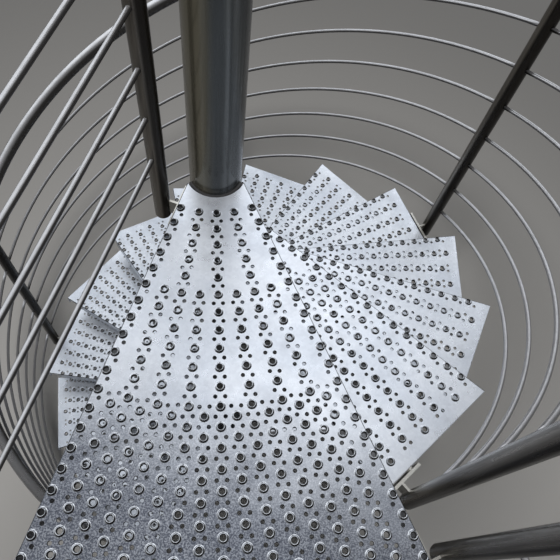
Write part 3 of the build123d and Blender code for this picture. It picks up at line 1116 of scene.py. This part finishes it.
@dataclass
class SpiralRailing:
    """Handrail and infill rods of the flight, each swept up a helix about the column."""

    flight: Flight
    circle: float = 907.0               # radius of the helices in plan
    end_shift: float = -135.0           # of the top post, along its tread's edge
    rods: int = 7
    first_rod: float = 105.0
    rod_spacing: float = 148.8
    rod_radius: float = 6.0
    post_radius: float = TUBE_RADIUS
    rail_height: float = 1193.0
    rail_radius: float = TUBE_RADIUS
    rail_wall: float = 2.6
    overrun: float = 4.0                # of the handrail past the end posts, in degrees
    step_angle: float = 2.36

    def shift(self, number: int) -> float:
        """How far the post beside a tread stands from the tread's centre line."""
        return self.end_shift if number == self.flight.count else 0.0

    def post_azimuth(self, number: int) -> float:
        """Azimuth of the post beside a tread."""
        return self.flight.azimuth(number) + math.degrees(math.atan2(self.shift(number), self.circle))

    def reach_into(self, number: int) -> float:
        """Angle short of a post's axis at which a rod's end is hidden in the tube."""
        aside = math.hypot(self.circle, self.shift(number)) - self.circle + self.rod_radius
        return math.degrees(math.sqrt(self.post_radius ** 2 - aside ** 2) / self.circle)

    def sweep(self, bm: BMesh, radii: Sequence[float], sides: int, low: float, high: float,
              height: float) -> None:
        """Sweep one circle, or the two circles of a tube, up the helix and close the ends.

        Args:
            bm: The bmesh that takes the shape.
            radii: Outer radius, and the inner one of a tube.
            sides: Faces round the section.
            low: Azimuth of the lower end, which is the greater one.
            high: Azimuth of the upper end.
            height: Above the line through the treads.
        """
        flight = self.flight
        steps = math.ceil((low - high) / self.step_angle)
        climb = flight.rise * (low - high) / flight.turn
        start, turn = math.radians(low), math.radians(low - high)
        level = flight.rise * (flight.count - (low - flight.top_azimuth) / flight.turn) + height
        foot = Matrix.Translation((self.circle * math.cos(start), self.circle * math.sin(start), level))
        tangent = Vector((math.sin(start), -math.cos(start), climb / (turn * self.circle)))
        place = foot @ tangent.to_track_quat("Z", "X").to_matrix().to_4x4()
        before = set(bm.verts)
        for radius in radii:
            ring = bmesh.ops.create_circle(bm, cap_ends=False, segments=sides, radius=radius,
                                           matrix=place)["verts"]
            edges = list({e for v in ring for e in v.link_edges})
            bmesh.ops.spin(bm, geom=ring + edges, cent=(0, 0, 0), axis=(0, 0, 1), dvec=(0, 0, climb / steps),
                           angle=-turn, steps=steps, use_duplicate=False)
        new = [v for v in bm.verts if v not in before]
        smooth(faces_at(new))
        self.close_ends(bm, new, radii)
        bmesh.ops.recalc_face_normals(bm, faces=faces_at(new))

    @staticmethod
    def close_ends(bm: BMesh, verts: Sequence[BMVert], radii: Sequence[float]) -> None:
        """Close the lower and the upper end of a swept rod or tube."""
        for lowest_or_highest in (min, max):
            edges = open_edges(verts)
            tip = lowest_or_highest(edges, key=lambda e: e.verts[0].co.z + e.verts[1].co.z)
            middle = Vector(tip.verts[0].co)
            rim = [e for e in edges if (e.verts[0].co - middle).length < 3 * radii[0]]
            if len(radii) == 1:
                bmesh.ops.holes_fill(bm, edges=rim, sides=0)
            else:
                bmesh.ops.bridge_loops(bm, edges=rim)

    def build(self, rod: Material, handrail: Material) -> None:
        """Make the rods between each two posts, and the handrail."""
        posts = self.flight.posts
        for lower, upper in zip(posts, posts[1:]):
            bm = bmesh.new()
            low = self.post_azimuth(lower) - self.reach_into(lower)
            high = self.post_azimuth(upper) + self.reach_into(upper)
            for index in range(self.rods):
                self.sweep(bm, (self.rod_radius,), 16, low, high, self.first_rod + index * self.rod_spacing)
            name = f"rods_{lower:02d}_to_{upper:02d}"
            place_shape(bm, f"{name}_swept", Matrix.Identity(4), rod, Slot.ROD, [name])
        bm = bmesh.new()
        low, high = self.post_azimuth(posts[0]) + self.overrun, self.post_azimuth(posts[-1]) - self.overrun
        self.sweep(bm, (self.rail_radius, self.rail_radius - self.rail_wall), 32, low, high, self.rail_height)
        place_shape(bm, "handrail_spiral_swept", Matrix.Identity(4), handrail, Slot.HANDRAIL,
                    ["handrail_spiral"])


# ---------------------------------------------------------------------------------------------
# Studio


@dataclass
class Studio:
    """Pale floor, soft light and the camera on the landing."""

    camera_place: tuple[float, float, float] = (-0.0164, -0.9432, 4.1023)
    yaw: float = -14.375
    tilt: float = 25.75
    roll: float = 12.14
    lens: float = 40.97
    film: float = 36.0
    nearest: float = 0.02
    floor_radius: float = 22.0
    floor_drop: float = 0.0005                      # below the base plate
    brightest: Direction = (-0.20, 0.83, 0.52)      # direction of the open sky
    sky_edge: Range = (0.16, 0.80)                  # share along it where the sky starts to brighten and ends
    sky_level: Range = (0.07, 1.25)                 # as metal mirrors it, away from there and there
    ambient: float = 0.13                           # share of it that lights the surfaces
    sky_tone: Colour = (0.93, 0.965, 1.0)
    backdrop: Colour = (0.42, 0.42, 0.42)
    lamp_power: float = 250.0
    lamp_tone: Colour = (1.0, 0.99, 0.975)
    lamp_place: tuple[float, float, float] = (-0.25, -1.0, 6.2)
    lamp_target: tuple[float, float, float] = (0.0, 0.0, 1.5)
    lamp_size: float = 0.6

    def camera(self) -> None:
        """Put the camera where the photograph was taken from."""
        data = bpy.data.cameras.new("camera")
        data.lens = self.lens
        data.sensor_width = self.film
        data.clip_start = self.nearest
        camera = add_object("camera", data)
        turn = Matrix.Identity(4)
        for angle, axis in ((self.yaw, "Z"), (self.tilt, "X"), (self.roll, "Z")):
            turn = turn @ Matrix.Rotation(math.radians(angle), 4, axis)
        camera.matrix_world = Matrix.Translation(self.camera_place) @ turn
        bpy.context.scene.camera = camera

    def floor(self) -> None:
        """Plain round floor just under the base plate."""
        bm = bmesh.new()
        bmesh.ops.create_circle(bm, cap_ends=True, segments=96, radius=self.floor_radius)
        mesh = to_mesh(bm, "floor")
        mesh.transform(Matrix.Translation((0, 0, -self.floor_drop)))
        mesh.materials.append(PaleGround("pale_ground").build())
        floor = add_object("floor", mesh)

    def sky(self) -> None:
        """Overcast sky, bright on the open side and dark behind the camera."""
        world = bpy.data.worlds.new("sky")
        tree = ShaderTree(world)
        openness = tree.dot(tree.coordinates.outputs["Generated"], self.brightest)
        level = tree.spread(openness, *self.sky_edge, *self.sky_level, True)
        rays = tree.node("ShaderNodeLightPath").outputs
        mirrored = tree.maths("MAXIMUM", rays["Is Glossy Ray"], rays["Is Transmission Ray"])
        share = tree.spread(mirrored, 0.0, 1.0, self.ambient, 1.0)
        colour = tree.mix(rays["Is Camera Ray"], self.sky_tone, self.backdrop)
        strength = tree.maths("MAXIMUM", tree.maths("MULTIPLY", level, share), rays["Is Camera Ray"])
        background = tree.node("ShaderNodeBackground", {"Color": colour, "Strength": strength})
        tree.node("ShaderNodeOutputWorld", {"Surface": background.outputs["Background"]})
        bpy.context.scene.world = world

    def light(self) -> None:
        """One soft lamp above the stair, which metal doesn't mirror."""
        lamp = bpy.data.lights.new("overhead", "AREA")
        lamp.shape = "DISK"
        lamp.size = self.lamp_size
        lamp.energy = self.lamp_power
        lamp.color = self.lamp_tone
        holder = add_object("overhead", lamp)
        holder.visible_glossy = False
        aim = (Vector(self.lamp_target) - Vector(self.lamp_place)).to_track_quat("-Z", "Y")
        holder.matrix_world = Matrix.Translation(self.lamp_place) @ aim.to_matrix().to_4x4()

    def build(self) -> None:
        """Set the whole studio."""
        self.camera()
        self.floor()
        self.sky()
        self.light()
        bpy.context.scene.view_settings.view_transform = "Standard"


# ---------------------------------------------------------------------------------------------
# Assembly


def dress(prefix: str, finish: Material) -> list[str]:
    """Give a finish to every CAD node whose name starts with a prefix; the nodes keep their shape.

    Args:
        prefix: Start of the nodes' names.
        finish: The material.

    Returns:
        The nodes' names.
    """
    names = sorted(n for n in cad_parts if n.startswith(prefix))
    for name in names:
        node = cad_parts[name]
        if not node.material_slots:
            node.data.materials.append(finish)
        for holder in node.material_slots:
            holder.material = finish
        log.info("%s takes %s", name, finish.name)
    return names


def build_pans(flight: Flight, landing: Landing, weld: Material) -> None:
    """Make the treads and the landing, with finishes in the order of Skin.

    Args:
        flight: The treads.
        landing: The landing.
        weld: Finish of the beads at the saddles.
    """
    # Painted shade in the bores and on the saddles.
    bore = PunchedBore("bore_painted_shade").build()
    # The collars are painted lighter than the sheet for a highlight, with painted shade on their other side.
    collar = StretchedZinc("drawn_collar", (0.86, 0.88, 0.92), (0.62, 0.64, 0.68)).build()
    # Painted shade: the folds' near-black tone stands for the shade and dark reflection along the edges.
    fold = StretchedZinc("fold_painted_shade", (0.12, 0.125, 0.135), (0.06, 0.063, 0.07),
                         roughness=(0.3, 0.45)).build()
    # The landing's near end is painted darker as shade and dark reflection.
    for part, sheet in ((flight, GalvanisedSheet("galvanised_tread")),
                        (landing, GalvanisedSheet("galvanised_landing", shade_span=(-0.50, -0.86)))):
        part.build([sheet.build(), bore, weld, collar, fold])


def build_posts() -> None:
    """Dress the posts and set a plug under each; the one beside the column sees less of the sky."""
    tones = ((0.195, 0.18, 0.16), (0.125, 0.115, 0.103), (0.024, 0.021, 0.018))
    grain = (160.0, 160.0, 4.0)
    post = BrushedTube("brushed_post", tones, grain, (-0.72, 0.69, 0.0), (0.50, 0.05)).build()
    gate_post = BrushedTube("brushed_gate_post", tones, grain, (-1.0, 0.0, 0.0), (0.10, -0.30)).build()
    PostFeet().build(dress("post_", post), post)
    dress("post_landing_inner_left", gate_post)


def build_railings(flight: Flight) -> None:
    """Dress the landing's level rods and handrails, and sweep those of the flight."""
    tones = ((0.53, 0.53, 0.55), (0.45, 0.45, 0.465), (0.085, 0.082, 0.082))
    matt, sideways = (0.28, 0.34), (-0.45, 0.40, 0.80)
    guard_rod = BrushedTube("brushed_guard_rod", tones, open_side=sideways, shade_over=(0.74, 0.18),
                            roughness=matt).build()
    rod = BrushedTube("brushed_rod", tones, open_side=(-0.12, 0.20, 0.97), shade_over=(0.50, 0.0),
                      roughness=matt).build()
    tones = ((0.68, 0.68, 0.70), (0.58, 0.58, 0.60), (0.09, 0.087, 0.085))
    handrail = BrushedTube("brushed_handrail", tones, open_side=sideways, shade_over=(0.55, 0.0)).build()
    dress("rods_landing", guard_rod)
    dress("handrail_landing", handrail)
    dress("handrail_caps", handrail)
    SpiralRailing(flight).build(rod, handrail)


def main() -> None:
    """Build and dress the stair, then set the studio."""
    logging.basicConfig(level=logging.INFO, format="%(message)s")
    flight, landing = Flight(), Landing()
    weld = WeldBead("weld_bead").build()
    column = DarkColumn("polished_column").build()
    bracket_tones = ((0.70, 0.69, 0.65), (0.60, 0.59, 0.55), (0.22, 0.215, 0.20))
    bracket = BrushedTube("bracket_bar", bracket_tones, (60.0, 60.0, 60.0)).build()

    build_pans(flight, landing, weld)
    seats = BracketSeats(flight, landing)
    Fixings().build([*seats.on_treads(), *seats.on_landing()], bracket)
    dress("column", column)
    dress("base_plate", column)
    dress("bracket_", bracket)
    build_posts()
    build_railings(flight)
    BaseWeld().build(weld)
    Studio().build()


if __name__ == "__main__":
    main()
